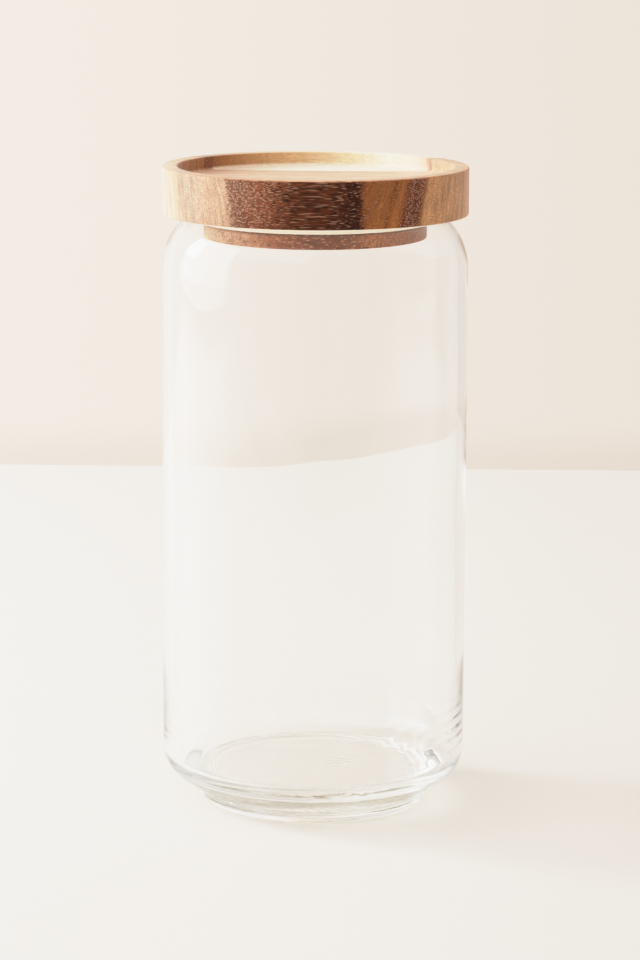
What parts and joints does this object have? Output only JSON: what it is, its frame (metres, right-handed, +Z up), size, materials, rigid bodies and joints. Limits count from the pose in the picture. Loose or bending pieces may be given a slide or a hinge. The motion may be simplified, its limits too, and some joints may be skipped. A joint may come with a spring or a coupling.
{
  "type": "glass storage jar",
  "caption": "Tall round glass storage jar with a stepped foot and a lift-off wooden lid, sealed by a silicone ring, with a stacking tray in its top.",
  "frame": {"origin": "on the jar's axis, at the bottom of its foot", "axes": "+Z up along the jar's axis, which everything is turned about; the part looks the same from every side, and -Y faces the viewer"},
  "size_m": [0.102, 0.102, 0.2149],
  "materials": {
    "clear_glass": "clear, colourless, fire-polished",
    "acacia": "sanded and oiled, satin, with cream sapwood and dark brown bands",
    "acacia_plug": "sanded, almost matt",
    "cream_silicone": "soft, translucent cream, satin"
  },
  "bodies": {
    "jar": {"glass_jar": "clear_glass"},
    "seal": {"silicone_seal": "cream_silicone"},
    "lid": {"lid_disc": "acacia", "lid_plug": "acacia_plug"}
  },
  "joints": [
    {"name": "lid_lift", "type": "slide", "parent": "jar", "child": "seal", "axis": [0, 0, 1], "range_m": [0, 0.06]},
    {"name": "lid_turn", "type": "hinge", "parent": "seal", "child": "lid", "pos_m": [0, 0, 0.19905], "axis": [0, 0, 1], "continuous": true}
  ]
}
